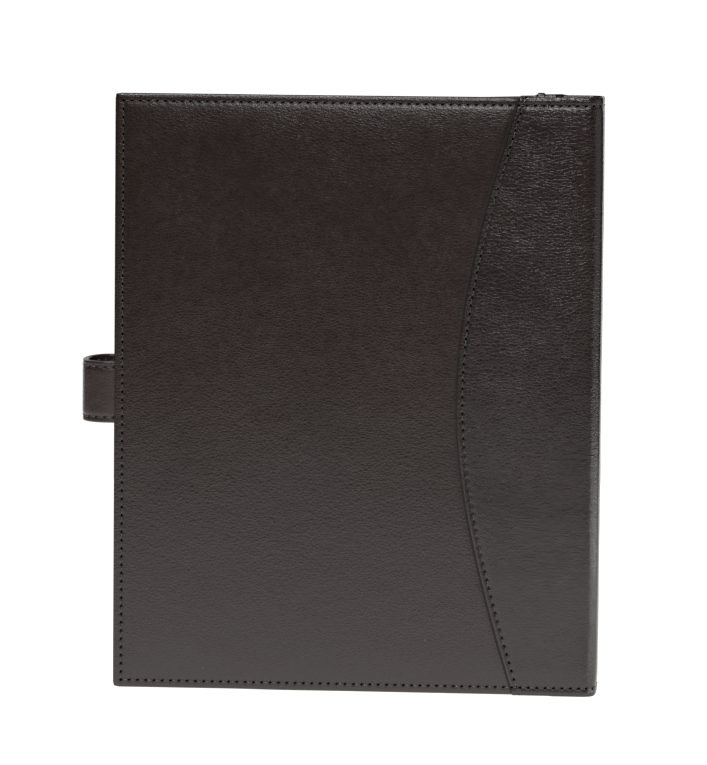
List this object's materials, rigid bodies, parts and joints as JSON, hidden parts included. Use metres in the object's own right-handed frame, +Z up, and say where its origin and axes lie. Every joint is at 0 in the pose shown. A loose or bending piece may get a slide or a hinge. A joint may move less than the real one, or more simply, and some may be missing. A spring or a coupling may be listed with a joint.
{
  "type": "portfolio case",
  "caption": "Leather writing portfolio with padded covers, a soft spine, a curved seam on each cover, a snap strap, a writing pad and inner pockets.",
  "frame": {"origin": "under the middle of the closed portfolio, strap and snap included, on the surface that it stands on", "axes": "+Z up along the spine, +X from the free edge towards the spine, -Y out of the back cover"},
  "size_m": [0.2786, 0.0346, 0.32],
  "materials": {
    "panel_leather": "fine-grained dark brown leather, soft satin",
    "spine_leather": "pebbled dark brown leather, soft satin",
    "strap_leather": "smooth dark brown leather, satin",
    "inner_leather": "dark brown leather, matt",
    "lining": "matt dark woven lining",
    "thread": "twisted polyester thread, dark brown",
    "foam": "thin padding, hidden",
    "board": "stiff grey-brown board",
    "paper": "ruled writing paper, matt",
    "pad_tape": "dark cloth-look binding tape",
    "window_film": "clear flexible film, glossy",
    "snap_metal": "dark nickel, satin"
  },
  "bodies": {
    "back_cover": {"back_main_panel": "panel_leather", "back_spine_panel": "spine_leather", "back_foam": "foam", "back_board": "board", "back_lining": "lining", "back_edge_stitching": "thread", "back_seam_stitching": "thread", "back_corner_leather": "spine_leather", "back_corner_lining": "lining", "pad_pocket": "lining", "pad_pocket_binding": "inner_leather", "strap_root": "strap_leather", "strap_bend_outer": "strap_leather", "strap_bend_lining": "strap_leather"},
    "spine": {"spine_leather": "spine_leather", "spine_stiffener": "board", "spine_lining": "lining", "pen_loop": "inner_leather", "front_corner_leather": "spine_leather", "front_corner_lining": "lining"},
    "front_cover": {"front_main_panel": "panel_leather", "front_spine_panel": "spine_leather", "front_foam": "foam", "front_board": "board", "front_lining": "lining", "front_edge_stitching": "thread", "front_seam_stitching": "thread", "document_pocket": "lining", "document_pocket_binding": "inner_leather", "card_slot_1": "inner_leather", "card_slot_2": "inner_leather", "card_slot_3": "inner_leather", "card_slot_4": "inner_leather", "id_window_frame": "inner_leather", "id_window_film": "window_film", "snap_stud": "snap_metal", "snap_post": "snap_metal"},
    "strap_tab": {"strap_tab_lining": "strap_leather", "strap_tab_outer": "strap_leather", "strap_tab_stitching": "thread", "snap_cap": "snap_metal", "snap_socket": "snap_metal"},
    "pad": {"pad_backing": "board", "pad_paper": "paper", "pad_binding": "pad_tape"}
  },
  "joints": [
    {"name": "spine_hinge", "type": "hinge", "parent": "back_cover", "child": "spine", "pos_m": [0.13704, -0.01504, 0.16], "axis": [0, 0, -1], "range_deg": [0, 90], "deforming": ["back_corner_leather", "back_corner_lining"]},
    {"name": "front_hinge", "type": "hinge", "parent": "spine", "child": "front_cover", "pos_m": [0.13704, 0.00844, 0.16], "axis": [0, 0, -1], "range_deg": [0, 90], "deforming": ["front_corner_leather", "front_corner_lining"]},
    {"name": "strap_swing", "type": "hinge", "parent": "back_cover", "child": "strap_tab", "pos_m": [-0.13974, -0.00015, 0.1585], "axis": [0, 0, 1], "range_deg": [0, 120], "deforming": ["strap_bend_outer", "strap_bend_lining"]},
    {"name": "pad_slide", "type": "slide", "parent": "back_cover", "child": "pad", "axis": [0, 0, 1], "range_m": [0, 0.15]}
  ]
}
